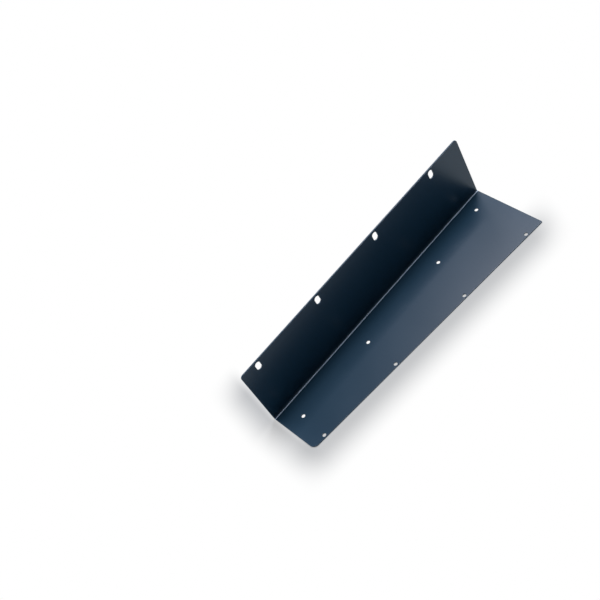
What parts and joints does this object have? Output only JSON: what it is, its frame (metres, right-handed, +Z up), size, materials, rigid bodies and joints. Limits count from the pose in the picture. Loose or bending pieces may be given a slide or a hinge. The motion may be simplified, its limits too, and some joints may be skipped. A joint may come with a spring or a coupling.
{
  "type": "rack mount ear bracket",
  "caption": "Folded sheet steel angle with a slotted rack flange and a tapering side flange with screw holes, which mounts equipment in a rack.",
  "frame": {"origin": "under the middle of the bounding box, on the side flange's outer face", "axes": "+Z up the rack flange, +Y along the fold from the narrow end of the side flange to its wide end, +X along the side flange away from the fold"},
  "size_m": [0.0915, 0.3326, 0.0867],
  "materials": {
    "powder_coat": "satin blue-black powder coat on steel"
  },
  "bodies": {
    "root": {"ear_bracket": "powder_coat"}
  },
  "joints": []
}
